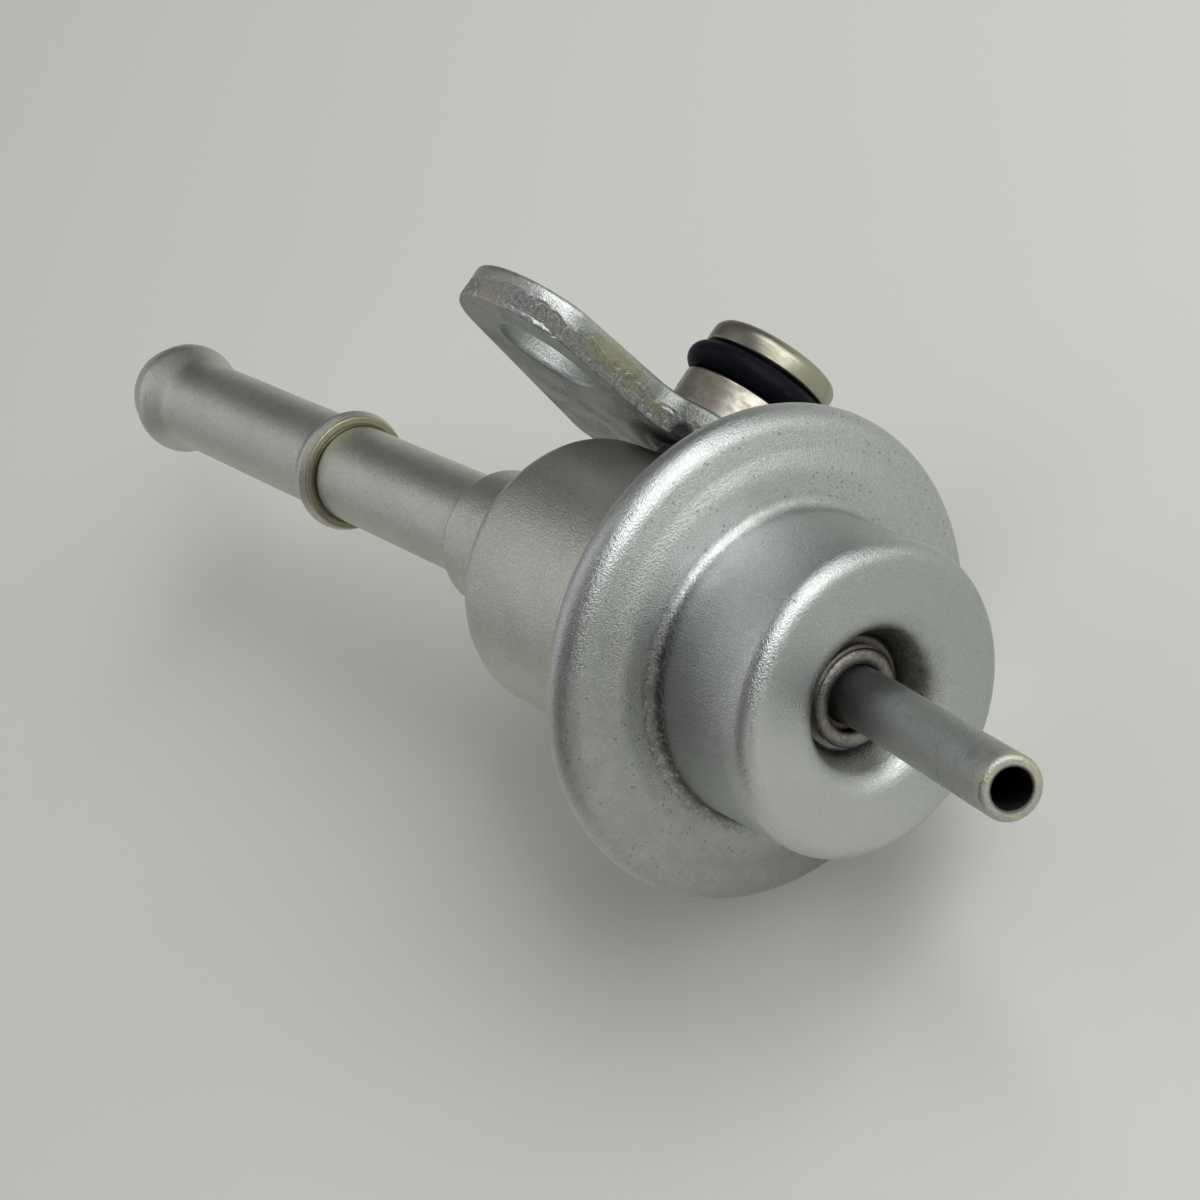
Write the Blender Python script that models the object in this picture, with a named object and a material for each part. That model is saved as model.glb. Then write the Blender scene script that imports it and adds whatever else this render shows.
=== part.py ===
"""Fuel pressure regulator: crimped diaphragm body, side inlet with O-ring, brazed bracket.

Metres. +X runs along the body towards the vacuum pipe, +Y along the inlet spigot,
+Z towards the bolt ear. The pieces are drawn about the point where the spigot's axis
crosses the body's axis, and then moved so that the origin is on the bracket's flat face.
"""
from math import acos, asin, atan2, cos, pi, radians, sin, sqrt, tan

import bmesh
import bpy
from mathutils import Matrix, Vector

# Clearances between pieces that are brazed, pressed or clamped together
FIT = 0.0003
STACK = 0.0001

# Spring cover, drawn from one sheet, with x measured from the spigot's axis
COVER_WALL = 0.0007
CAP_R = 0.01065
CAP_FACE_X = 0.02757
CAP_SHOULDER_R = 0.0013
CAP_FOOT_FILLET = 0.0006
CREASE_X = 0.01815
RIM_R = 0.0171
RIM_REAR_X = 0.0142
RIM_FRONT_X = 0.0176
VALLEY_INSET = 0.0026
VALLEY_DROP = 0.0004
CREST_INSET = 0.0037
CREST_RISE = 0.0001
WRAP_WIDTH = 0.0039

# Calibration dimple and burred collar in the cap's end face
DIMPLE_R = 0.0052
DIMPLE_FLOOR_X = 0.0246
DIMPLE_FLOOR_WIDTH = 0.0006
DIMPLE_ROUND = 0.0019
COLLAR_GAP = 0.00045
COLLAR_WALL = 0.0008
COLLAR_LIP_X = 0.02545

# Braze rings that fill the joints of the two pipes
BRAZE_GAP = 0.00005
VACUUM_BRAZE_START = 0.0002
VACUUM_BRAZE_DEPTH = 0.0003
RETURN_BRAZE_INSET = 0.0012
RETURN_BRAZE_LENGTH = 0.0060

# Vacuum pipe, bent out of the body's axis where it leaves the collar
VACUUM_R = 0.0020
VACUUM_BORE_R = 0.00126
VACUUM_BEND_X = 0.0251
VACUUM_BEND_R = 0.0060
VACUUM_LEAN_DEG = 20.4
VACUUM_LEAN_TURN_DEG = -20.5
VACUUM_INSERTED = 0.0013
VACUUM_LENGTH = 0.0235
VACUUM_TIP_ROUND = 0.00064

# Lower housing: cup, flange and rear neck from one sheet
HOUSING_WALL = 0.0010
CUP_R = 0.01015
CUP_REAR_X = -0.0066
CUP_SHOULDER_R = 0.0018
CUP_FLANGE_FILLET = 0.0011
NECK_R = 0.0053
NECK_REAR_X = -0.0165
NECK_ROUND = 0.0011
NECK_FILLET = 0.0006
FLANGE_EDGE_GAP = 0.0009

# Return pipe with its upset bead and hose bulge
PIPE_R = 0.0040
PIPE_BORE_R = 0.0031
PIPE_INNER_X = 0.0050
PIPE_OPEN_X = -0.0718
BEAD_X = -0.0381
BEAD_R = 0.0047
BEAD_CREST_R = 0.0051
BEAD_WIDTH = 0.0030
BEAD_ROUND = 0.0006
BEAD_BLEND_R = 0.0015
BULGE_R = 0.0051
BULGE_LENGTH = 0.0062
BULGE_ROUND = 0.0025
BULGE_BLEND_R = 0.0040
MOUTH_ROUND = 0.0012

# Inlet spigot and its O-ring, with heights measured from the body's axis
SPIGOT_R = 0.0050
SPIGOT_BORE_R = 0.0026
SPIGOT_TENON_R = 0.0036
SPIGOT_INNER_Y = 0.0084
GROOVE_FLOOR_R = 0.0034
GROOVE_Y = 0.0162
GROOVE_WIDTH = 0.0025
SPIGOT_END_Y = 0.0206
SPIGOT_CHAMFER = 0.0007
O_RING_WIRE_R = 0.00108

# Bracket, a flat stamping that stands tangent to the cup
BRACKET_THICKNESS = 0.0027
EAR_X = -0.0051
EAR_Z = 0.0134
EAR_R = 0.0074
EAR_FRONT_X = 0.0010
BOLT_HOLE_R = 0.0038
REAR_CORNER_X = -0.0170
REAR_CORNER_Z = -0.0010
REAR_CORNER_R = 0.0022
FOOT_SLANT = 0.0030
HEAD_R = 0.0068
HEAD_BLEND_R = 0.0020
BRACKET_FOOT_Z = -0.0068
SHEAR_ROUND = 0.00025

# Place of the origin on the bracket's face, between the bolt hole and the spigot
ORIGIN_X = -0.00275
ORIGIN_Z = 0.0072

# Diaphragm stack
DIAPHRAGM_THICKNESS = 0.00035
BEAD_RING_WIDTH = 0.0010
BEAD_RING_THICKNESS = 0.0006
FOLD_HEIGHT = 0.0009
FOLD_CLEARANCE = 0.0002
PLATE_THICKNESS = 0.0008
PLATE_INSET = 0.0004
SPRING_CUP_WALL = 0.0004
SPRING_CUP_LIP = 0.0011
STEM_NECK_R = 0.0024
RIVET_HEAD_R = 0.0036
RIVET_HEAD_HEIGHT = 0.0007

# Valve
SEAT_FLANGE_R = 0.0038
SEAT_FLANGE_HEIGHT = 0.0017
SEAT_SPIGOT_LENGTH = 0.0038
SEAT_BORE_R = 0.0016
SEAT_LAND_R = 0.0025
SEAT_LAND_HEIGHT = 0.0004
DISC_R = 0.0034
DISC_THICKNESS = 0.0006
BALL_R = 0.0022
BALL_SEAT_WEB = 0.0005
SOCKET_SHORT = 0.0005
STEM_R = 0.0039
STEM_LIP = 0.0002
STEM_LIP_R = 0.0027
RETAINER_THICKNESS = 0.0004
RETAINER_R = 0.0030
RETAINER_BORE_R = 0.00205
BALL_BORE_R = 0.0025
BALL_SPRING_BORE_R = 0.0017
BALL_SPRING_WIRE_R = 0.00018
BALL_SPRING_R = 0.00115
BALL_SPRING_LENGTH = 0.0023
BALL_SPRING_TURNS = 4.0

# Main spring and its upper seat
SPRING_WIRE_R = 0.0006
SPRING_TURNS = 2.75
SPRING_SEAT_THICKNESS = 0.0007
SPRING_SEAT_HOLE_R = 0.0031
SPRING_SEAT_R = 0.0075
SPRING_SEAT_LIP = 0.0010
SPRING_SEAT_PLAY = 0.0002
SPRING_CUP_PLAY = 0.0004

# Places that follow from the sizes above
NECK_BORE_R = NECK_R - HOUSING_WALL
HOUSING_FLANGE_R = RIM_R - COVER_WALL - FLANGE_EDGE_GAP
DIAPHRAGM_R = HOUSING_FLANGE_R - STACK
HOUSING_FLANGE_X = RIM_REAR_X + COVER_WALL + STACK
DIAPHRAGM_X = HOUSING_FLANGE_X + HOUSING_WALL + STACK
LOWER_PLATE_X = DIAPHRAGM_X - STACK - PLATE_THICKNESS
UPPER_PLATE_X = DIAPHRAGM_X + DIAPHRAGM_THICKNESS + STACK
RIVET_X = UPPER_PLATE_X + PLATE_THICKNESS + STACK
STEM_SHOULDER_X = LOWER_PLATE_X - STACK
SEAT_FLANGE_X = PIPE_INNER_X + FIT
SEAT_LAND_X = SEAT_FLANGE_X + SEAT_FLANGE_HEIGHT + SEAT_LAND_HEIGHT
DISC_X = SEAT_LAND_X + STACK
BALL_X = DISC_X + BALL_SEAT_WEB + STACK + BALL_R
STEM_MOUTH_X = DISC_X + DISC_THICKNESS + FIT
BRACKET_Y = CUP_R + FIT
BRACKET_TOP_Y = BRACKET_Y + BRACKET_THICKNESS
INLET_HOLE_R = SPIGOT_TENON_R + FIT
COLLAR_BORE_R = VACUUM_R + COLLAR_GAP
COLLAR_R = COLLAR_BORE_R + COLLAR_WALL
DIMPLE_UNDERSIDE_X = DIMPLE_FLOOR_X - COVER_WALL
SPRING_SEAT_X = DIMPLE_UNDERSIDE_X - FIT - SPRING_SEAT_THICKNESS
SPRING_R = SPRING_SEAT_R - SPRING_SEAT_THICKNESS - SPRING_SEAT_PLAY - SPRING_WIRE_R
SPRING_CUP_R = SPRING_R + SPRING_WIRE_R + SPRING_CUP_PLAY + SPRING_CUP_WALL
PLATE_R = SPRING_CUP_R - PLATE_INSET
FOLD_R = SPRING_CUP_R + FOLD_CLEARANCE + FOLD_HEIGHT
SPRING_TOP_X = SPRING_SEAT_X - STACK
SPRING_FOOT_X = UPPER_PLATE_X + PLATE_THICKNESS + STACK

# Steps round a turned piece
FINE = 40
MEDIUM = 32
SMALL = 24
ARC = 3


def clear_scene():
    for item in list(bpy.data.objects):
        bpy.data.objects.remove(item, do_unlink=True)


def material(name, colour, metallic, roughness):
    found = bpy.data.materials.get(name)
    if found:
        return found
    made = bpy.data.materials.new(name)
    made.use_nodes = True
    shader = made.node_tree.nodes["Principled BSDF"]
    shader.inputs["Base Color"].default_value = (*colour, 1.0)
    shader.inputs["Metallic"].default_value = metallic
    shader.inputs["Roughness"].default_value = roughness
    made.diffuse_color = (*colour, 1.0)
    return made


def zinc(name):
    return material(name, (0.56, 0.58, 0.59), 1.0, 0.42)


def bare_steel(name):
    return material(name, (0.55, 0.53, 0.49), 1.0, 0.33)


def brass(name):
    return material(name, (0.62, 0.48, 0.24), 1.0, 0.30)


def copper(name):
    return material(name, (0.60, 0.36, 0.24), 1.0, 0.40)


def spring_steel(name):
    return material(name, (0.40, 0.40, 0.41), 1.0, 0.35)


def black_rubber(name):
    return material(name, (0.02, 0.021, 0.024), 0.0, 0.45)


# Profiles are lists of (x, r): along the turning axis, and out from it


def arc(centre_x, centre_r, radius, start, end, steps=ARC):
    """Points on a circle from the start angle to the end angle, in degrees."""
    points = []
    for step in range(steps + 1):
        angle = radians(start + (end - start) * step / steps)
        points.append((centre_x + radius * cos(angle), centre_r + radius * sin(angle)))
    return points


def rounded(points, radii, steps=ARC):
    """A polyline with each inner corner rounded by its own radius."""
    result = [points[0]]
    for before, corner, after, radius in zip(points, points[1:], points[2:], radii):
        if radius <= 0:
            result.append(corner)
            continue
        back = Vector(before) - Vector(corner)
        ahead = Vector(after) - Vector(corner)
        half = back.angle(ahead) / 2
        reach = min(radius / tan(half), 0.49 * back.length, 0.49 * ahead.length)
        radius = reach * tan(half)
        centre = Vector(corner) + (back.normalized() + ahead.normalized()).normalized() * radius / sin(half)
        start = Vector(corner) + back.normalized() * reach - centre
        end = Vector(corner) + ahead.normalized() * reach - centre
        turn = start.angle_signed(end)
        for step in range(steps + 1):
            spoke = start.copy()
            spoke.rotate(Matrix.Rotation(-turn * step / steps, 2))
            result.append(tuple(centre + spoke))
    result.append(points[-1])
    return result


def thickened(path, thickness):
    """The closed section of a sheet: the path, and back along its offset to the left."""
    offset = []
    for index, point in enumerate(path):
        here = Vector(point)
        before = here - Vector(path[max(index - 1, 0)])
        after = Vector(path[min(index + 1, len(path) - 1)]) - here
        before = before if before.length else after
        after = after if after.length else before
        left_before = Vector((-before.y, before.x)).normalized()
        left_after = Vector((-after.y, after.x)).normalized()
        middle = (left_before + left_after).normalized()
        offset.append(tuple(here + middle * thickness / middle.dot(left_before)))
    return path + offset[::-1]


def finish(name, mesh, finish_material, location=(0, 0, 0), sharp=35):
    mesh.materials.append(finish_material)
    mesh.shade_smooth()
    mesh.set_sharp_from_angle(angle=radians(sharp))
    made = bpy.data.objects.new(name, mesh)
    made.location = location
    bpy.context.collection.objects.link(made)
    return made


def turned_mesh(name, section, steps, axis="X"):
    """A closed section turned once round the axis, with its faces out."""
    shape = bmesh.new()
    corners = [shape.verts.new((x, r, 0)) for x, r in section]
    edges = [shape.edges.new((one, two)) for one, two in zip(corners, corners[1:] + corners[:1])]
    bmesh.ops.spin(shape, geom=corners + edges, cent=(0, 0, 0), axis=(1, 0, 0),
                   angle=2 * pi, steps=steps, use_merge=True)
    bmesh.ops.remove_doubles(shape, verts=shape.verts, dist=1e-7)
    bmesh.ops.dissolve_degenerate(shape, edges=shape.edges, dist=1e-8)
    bmesh.ops.recalc_face_normals(shape, faces=shape.faces)
    if axis == "Y":
        bmesh.ops.transform(shape, matrix=Matrix.Rotation(pi / 2, 4, "Z"), verts=shape.verts)
    mesh = bpy.data.meshes.new(name)
    shape.to_mesh(mesh)
    shape.free()
    return mesh


def turned(name, section, steps, finish_material, axis="X", centre_x=0.0):
    """A turned piece whose origin is on the body's axis at centre_x."""
    section = [(x - centre_x, r) for x, r in section]
    return finish(name, turned_mesh(name, section, steps, axis), finish_material, (centre_x, 0, 0))


def coil(name, mean_r, wire_r, turns, start_x, end_x, finish_material, per_turn=18, sides=2):
    """A helical spring along the body's axis, with capped wire ends."""
    curve = bpy.data.curves.new(name, "CURVE")
    curve.dimensions = "3D"
    curve.bevel_depth = wire_r
    curve.bevel_resolution = sides
    curve.use_fill_caps = True
    count = int(turns * per_turn) + 1
    spline = curve.splines.new("POLY")
    spline.points.add(count - 1)
    run = end_x - start_x - 2 * wire_r
    for index, point in enumerate(spline.points):
        share = index / (count - 1)
        angle = 2 * pi * turns * share
        point.co = (start_x + wire_r + run * share, mean_r * cos(angle), mean_r * sin(angle), 1)
    curve.materials.append(finish_material)
    made = bpy.data.objects.new(name, curve)
    bpy.context.collection.objects.link(made)
    return made


def cut(target, cutter_name, radius, start, end, steps=MEDIUM):
    """Bores a round hole along Y through the target, with a cutter that is left out."""
    section = [(start, 0), (start, radius), (end, radius), (end, 0)]
    mesh = turned_mesh(cutter_name, section, steps, axis="Y")
    cutter = bpy.data.objects.new(cutter_name, mesh)
    bpy.context.collection.objects.link(cutter)
    cutter.hide_render = True
    cutter.display_type = "WIRE"
    modifier = target.modifiers.new(cutter_name, "BOOLEAN")
    modifier.operation = "DIFFERENCE"
    modifier.object = cutter
    modifier.solver = "EXACT"


def collar_path():
    """The collar's bore, its round lip and its outside, down to the dimple's floor."""
    return rounded(
        [(DIMPLE_UNDERSIDE_X, COLLAR_BORE_R), (COLLAR_LIP_X, COLLAR_BORE_R), (COLLAR_LIP_X, COLLAR_R),
         (DIMPLE_FLOOR_X, COLLAR_R)],
        [0.48 * COLLAR_WALL, 0.48 * COLLAR_WALL], 4)


def sheet_path():
    """The cover's outer surface, from the dimple's floor to the edge that is rolled in behind."""
    foot_r = CAP_R + CAP_FOOT_FILLET
    rim_round = (RIM_FRONT_X - RIM_REAR_X) / 2
    floor_r = COLLAR_R + DIMPLE_FLOOR_WIDTH
    corners = [
        (DIMPLE_FLOOR_X, COLLAR_R + FIT / 2),
        (DIMPLE_FLOOR_X, floor_r),
        (CAP_FACE_X, DIMPLE_R),
        (CAP_FACE_X, CAP_R),
        (CREASE_X, CAP_R),
        (CREASE_X, foot_r),
        (CREASE_X + CREST_RISE, RIM_R - CREST_INSET),
        (CREASE_X - VALLEY_DROP, RIM_R - VALLEY_INSET),
        (RIM_FRONT_X, RIM_R - 1.1 * rim_round),
    ]
    radii = [DIMPLE_FLOOR_WIDTH, DIMPLE_ROUND, CAP_SHOULDER_R, CAP_FOOT_FILLET, 0, 0.0012, 0.0012]
    path = rounded(corners, radii)[:-1]
    path += arc(RIM_REAR_X + rim_round, RIM_R - rim_round, rim_round, 12, 180, 2 * ARC)
    path.append((RIM_REAR_X, RIM_R - WRAP_WIDTH))
    return path


def spring_cover():
    section = collar_path() + thickened(sheet_path(), COVER_WALL)
    return turned("spring_cover", section, FINE, zinc("cover_zinc"))


def lower_housing():
    """Neck, cup and flange as one drawn sheet, with the inlet hole in the cup's wall."""
    corners = [
        (NECK_REAR_X, NECK_BORE_R),
        (NECK_REAR_X, NECK_R),
        (CUP_REAR_X, NECK_R),
        (CUP_REAR_X, CUP_R),
        (HOUSING_FLANGE_X, CUP_R),
        (HOUSING_FLANGE_X, HOUSING_FLANGE_R),
    ]
    outer = rounded(corners, [NECK_ROUND, NECK_FILLET, CUP_SHOULDER_R, CUP_FLANGE_FILLET])
    inner_corners = [
        (HOUSING_FLANGE_X + HOUSING_WALL, HOUSING_FLANGE_R),
        (HOUSING_FLANGE_X + HOUSING_WALL, CUP_R - HOUSING_WALL),
        (CUP_REAR_X + HOUSING_WALL, CUP_R - HOUSING_WALL),
        (CUP_REAR_X + HOUSING_WALL, NECK_BORE_R),
        (NECK_REAR_X, NECK_BORE_R),
    ]
    inner_radii = [CUP_FLANGE_FILLET + HOUSING_WALL, CUP_SHOULDER_R - HOUSING_WALL, NECK_FILLET + HOUSING_WALL]
    inner = rounded(inner_corners, inner_radii)[:-1]
    made = turned("lower_housing", outer + inner, 36, zinc("housing_zinc"))
    cut(made, "inlet_hole_cutter", INLET_HOLE_R, CUP_R / 2, CUP_R + HOUSING_WALL)
    return made


def pipe_place(distance):
    """Centre of the vacuum pipe and the way it runs, at a distance from the start of its bend."""
    turn = radians(VACUUM_LEAN_TURN_DEG)
    side = Vector((0, sin(turn), cos(turn)))
    angle = min(max(distance / VACUUM_BEND_R, 0), radians(VACUUM_LEAN_DEG))
    ahead = Vector((cos(angle), 0, 0)) + side * sin(angle)
    centre = Vector((VACUUM_BEND_X + VACUUM_BEND_R * sin(angle), 0, 0))
    centre += side * VACUUM_BEND_R * (1 - cos(angle)) + ahead * (distance - angle * VACUUM_BEND_R)
    return centre, ahead, side


def vacuum_pipe():
    """A tube that is straight in the collar, bends, and runs straight to its rounded tip."""
    bend = [VACUUM_BEND_R * radians(VACUUM_LEAN_DEG) * share / 4 for share in range(5)]
    outside = rounded(
        [(-VACUUM_INSERTED, VACUUM_R), (VACUUM_LENGTH, VACUUM_R), (VACUUM_LENGTH, VACUUM_BORE_R)],
        [VACUUM_TIP_ROUND], 4)
    section = outside[:1] + [(distance, VACUUM_R) for distance in bend] + outside[1:]
    section += [(distance, VACUUM_BORE_R) for distance in reversed(bend)]
    section.append((-VACUUM_INSERTED, VACUUM_BORE_R))
    shape = bmesh.new()
    rings = []
    for distance, radius in section:
        centre, ahead, side = pipe_place(distance)
        across = ahead.cross(side).normalized()
        upright = across.cross(ahead)
        spokes = [2 * pi * step / SMALL for step in range(SMALL)]
        rings.append([shape.verts.new(centre + radius * (cos(a) * upright + sin(a) * across)) for a in spokes])
    for one, two in zip(rings, rings[1:] + rings[:1]):
        for step in range(SMALL):
            shape.faces.new((one[step - 1], one[step], two[step], two[step - 1]))
    bmesh.ops.recalc_face_normals(shape, faces=shape.faces)
    mesh = bpy.data.meshes.new("vacuum_pipe")
    shape.to_mesh(mesh)
    shape.free()
    return finish("vacuum_pipe", mesh, zinc("vacuum_pipe_zinc"))


def return_pipe():
    bead_rear = BEAD_X - BEAD_WIDTH
    bulge_x = PIPE_OPEN_X + BULGE_LENGTH / 2
    outer = [(PIPE_OPEN_X, PIPE_BORE_R + 0.0001)]
    outer += rounded(
        [(PIPE_OPEN_X, PIPE_BORE_R + 0.0001), (PIPE_OPEN_X, PIPE_R), (bulge_x, BULGE_R),
         (PIPE_OPEN_X + BULGE_LENGTH, PIPE_R), (bead_rear, PIPE_R), (BEAD_X - 0.0010, BEAD_CREST_R),
         (BEAD_X, BEAD_R), (BEAD_X, PIPE_R), (PIPE_INNER_X, PIPE_R)],
        [MOUTH_ROUND, BULGE_ROUND, BULGE_BLEND_R, BEAD_BLEND_R, BEAD_ROUND, 0.00015, 0.0002])[1:]
    inner = [(PIPE_INNER_X, PIPE_BORE_R)]
    return turned("return_pipe", outer + inner, 32, zinc("return_pipe_zinc"))


def vacuum_pipe_braze():
    """Ring of braze low in the collar, round the straight end of the pipe."""
    start = VACUUM_BEND_X - VACUUM_INSERTED + VACUUM_BRAZE_START
    section = ring_section(start, VACUUM_BEND_X - VACUUM_BRAZE_DEPTH, VACUUM_R + BRAZE_GAP,
                           COLLAR_BORE_R - BRAZE_GAP)
    return turned("vacuum_pipe_braze", section, FINE, copper("vacuum_braze_copper"))


def return_pipe_braze():
    """Ring of braze between the neck and the return pipe."""
    start = NECK_REAR_X + RETURN_BRAZE_INSET
    section = ring_section(start, start + RETURN_BRAZE_LENGTH, PIPE_R + BRAZE_GAP, NECK_BORE_R - BRAZE_GAP)
    return turned("return_pipe_braze", section, 36, copper("return_braze_copper"))


def inlet_spigot():
    """Turned stub that stands on the cup, through the bracket, with its tenon in the cup's wall."""
    groove_end = GROOVE_Y + GROOVE_WIDTH
    section = [
        (SPIGOT_INNER_Y, SPIGOT_BORE_R),
        (SPIGOT_INNER_Y, SPIGOT_TENON_R),
        (BRACKET_Y, SPIGOT_TENON_R),
        (BRACKET_Y, SPIGOT_R - 0.0002),
        (BRACKET_Y + 0.0002, SPIGOT_R),
        (GROOVE_Y - 0.00015, SPIGOT_R),
        (GROOVE_Y, SPIGOT_R - 0.00015),
        (GROOVE_Y, GROOVE_FLOOR_R),
        (groove_end, GROOVE_FLOOR_R),
        (groove_end, SPIGOT_R - 0.00015),
        (groove_end + 0.00015, SPIGOT_R),
        (SPIGOT_END_Y - SPIGOT_CHAMFER, SPIGOT_R),
        (SPIGOT_END_Y, SPIGOT_R - SPIGOT_CHAMFER),
        (SPIGOT_END_Y, SPIGOT_BORE_R + 0.0003),
        (SPIGOT_END_Y - 0.0003, SPIGOT_BORE_R),
    ]
    return turned("inlet_spigot", section, 32, bare_steel("spigot_steel"), axis="Y")


def inlet_o_ring():
    centre_y = GROOVE_Y + GROOVE_WIDTH / 2
    ring_r = GROOVE_FLOOR_R + STACK + O_RING_WIRE_R
    section = arc(centre_y, ring_r, O_RING_WIRE_R, 0, 360, 10)[:-1]
    return turned("inlet_o_ring", section, 30, black_rubber("o_ring_rubber"), axis="Y")


def bracket_outline():
    """The plate's outline in X and Z: bolt ear, straight front edge, spigot head, sloping rear edge."""
    rear = Vector((REAR_CORNER_X - EAR_X, REAR_CORNER_Z - EAR_Z))
    lean = atan2(rear.y, rear.x)
    tangent = lean - acos(EAR_R / rear.length)
    ear_start = acos((EAR_FRONT_X - EAR_X) / EAR_R)
    outline = []
    end = tangent if tangent > 0 else tangent + 2 * pi
    for step in range(19):
        angle = ear_start + (end - ear_start) * step / 18
        outline.append((EAR_X + EAR_R * cos(angle), EAR_Z + EAR_R * sin(angle)))
    foot = rounded(
        [outline[-1], (REAR_CORNER_X, REAR_CORNER_Z), (REAR_CORNER_X + FOOT_SLANT, BRACKET_FOOT_Z),
         (0.0, BRACKET_FOOT_Z)],
        [REAR_CORNER_R, REAR_CORNER_R])
    outline += foot[1:-1]
    head_top = asin((sqrt((HEAD_R + HEAD_BLEND_R) ** 2 - (EAR_FRONT_X + HEAD_BLEND_R) ** 2)) /
                    (HEAD_R + HEAD_BLEND_R))
    for step in range(17):
        angle = -pi / 2 + (head_top + pi / 2) * step / 16
        outline.append((HEAD_R * cos(angle), HEAD_R * sin(angle)))
    blend_z = (HEAD_R + HEAD_BLEND_R) * sin(head_top)
    for step in range(1, 6):
        angle = pi + head_top * (1 - step / 5)
        outline.append((EAR_FRONT_X + HEAD_BLEND_R + HEAD_BLEND_R * cos(angle),
                        blend_z + HEAD_BLEND_R * sin(angle)))
    return outline


def bracket():
    shape = bmesh.new()
    face = shape.faces.new([shape.verts.new((x, BRACKET_Y, z)) for x, z in bracket_outline()])
    raised = bmesh.ops.extrude_face_region(shape, geom=[face])
    top = [item for item in raised["geom"] if isinstance(item, bmesh.types.BMVert)]
    bmesh.ops.translate(shape, vec=(0, BRACKET_THICKNESS, 0), verts=top)
    bmesh.ops.recalc_face_normals(shape, faces=shape.faces)
    mesh = bpy.data.meshes.new("bracket")
    shape.to_mesh(mesh)
    shape.free()
    made = finish("bracket", mesh, zinc("bracket_zinc"))
    for name, radius, x, z in (("bolt_hole_cutter", BOLT_HOLE_R, EAR_X, EAR_Z),
                               ("spigot_hole_cutter", SPIGOT_R + 2 * STACK, 0, 0)):
        cut(made, name, radius, BRACKET_Y - FIT, BRACKET_TOP_Y + FIT)
        bpy.data.objects[name].location = (x, 0, z)
    rounding = made.modifiers.new("shear_round", "BEVEL")
    rounding.width = SHEAR_ROUND
    rounding.segments = 2
    rounding.limit_method = "ANGLE"
    rounding.angle_limit = radians(50)
    return made


def diaphragm():
    """Moulded sheet: flat centre, one rolled fold towards the spring, flat rim and thicker bead."""
    middle = DIAPHRAGM_X + DIAPHRAGM_THICKNESS
    fold_width = FOLD_HEIGHT
    top = [(middle, STEM_NECK_R + FIT), (middle, FOLD_R - fold_width)]
    top += [(middle + FOLD_HEIGHT * sin(radians(a)), FOLD_R - fold_width * cos(radians(a)))
            for a in (30, 60, 90, 120, 150)]
    bead_r = DIAPHRAGM_R - BEAD_RING_WIDTH
    top += [(middle, FOLD_R + fold_width), (middle, bead_r - 0.0002)]
    top += [(DIAPHRAGM_X + BEAD_RING_THICKNESS, bead_r),
            (DIAPHRAGM_X + BEAD_RING_THICKNESS, DIAPHRAGM_R - 0.0002), (middle, DIAPHRAGM_R),
            (DIAPHRAGM_X, DIAPHRAGM_R)]
    under = fold_width - DIAPHRAGM_THICKNESS
    bottom = [(DIAPHRAGM_X, FOLD_R + under)]
    bottom += [(DIAPHRAGM_X + FOLD_HEIGHT * sin(radians(a)), FOLD_R + under * cos(radians(a)))
               for a in (30, 60, 90, 120, 150)]
    bottom += [(DIAPHRAGM_X, FOLD_R - under), (DIAPHRAGM_X, STEM_NECK_R + FIT)]
    return turned("diaphragm", top + bottom, MEDIUM, black_rubber("diaphragm_rubber"))


def ring_section(start_x, end_x, inner_r, outer_r):
    return [(start_x, inner_r), (start_x, outer_r), (end_x, outer_r), (end_x, inner_r)]


def lower_diaphragm_plate():
    section = ring_section(LOWER_PLATE_X, LOWER_PLATE_X + PLATE_THICKNESS, STEM_NECK_R + FIT, PLATE_R)
    return turned("lower_diaphragm_plate", section, 36, zinc("lower_plate_zinc"))


def upper_diaphragm_plate():
    """The plate on the spring side, with a turned-up lip that centres the spring."""
    floor = UPPER_PLATE_X + PLATE_THICKNESS
    lip_x = floor + SPRING_CUP_LIP
    section = [
        (UPPER_PLATE_X, STEM_NECK_R + FIT), (UPPER_PLATE_X, SPRING_CUP_R - 0.0003),
        (UPPER_PLATE_X + 0.0003, SPRING_CUP_R), (lip_x, SPRING_CUP_R),
        (lip_x, SPRING_CUP_R - SPRING_CUP_WALL), (floor, SPRING_CUP_R - SPRING_CUP_WALL),
        (floor, STEM_NECK_R + FIT),
    ]
    return turned("upper_diaphragm_plate", section, 36, zinc("upper_plate_zinc"))


def valve_stem():
    """Riveted through the plates, with the ball's socket, the small spring's bore and a staked mouth."""
    retainer_x = STEM_MOUTH_X + STEM_LIP + STACK
    socket_x = retainer_x + RETAINER_THICKNESS + STACK
    socket_end = BALL_X + BALL_R - SOCKET_SHORT
    bore_end = socket_end + BALL_SPRING_LENGTH + 0.0010
    section = [
        (STEM_MOUTH_X, STEM_LIP_R), (STEM_MOUTH_X, STEM_R), (STEM_SHOULDER_X, STEM_R),
        (STEM_SHOULDER_X, STEM_NECK_R), (RIVET_X, STEM_NECK_R), (RIVET_X, RIVET_HEAD_R),
        (RIVET_X + 0.0004, RIVET_HEAD_R), (RIVET_X + RIVET_HEAD_HEIGHT, STEM_NECK_R),
        (RIVET_X + RIVET_HEAD_HEIGHT, 0.0), (bore_end, 0.0), (bore_end - 0.0003, BALL_SPRING_BORE_R),
        (socket_end, BALL_SPRING_BORE_R), (socket_end - 0.0004, BALL_BORE_R), (socket_x, BALL_BORE_R),
        (socket_x, RETAINER_R + FIT / 2), (STEM_MOUTH_X + STEM_LIP, RETAINER_R + FIT / 2),
        (STEM_MOUTH_X + STEM_LIP, STEM_LIP_R),
    ]
    return turned("valve_stem", section, 32, bare_steel("stem_steel"))


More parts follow.
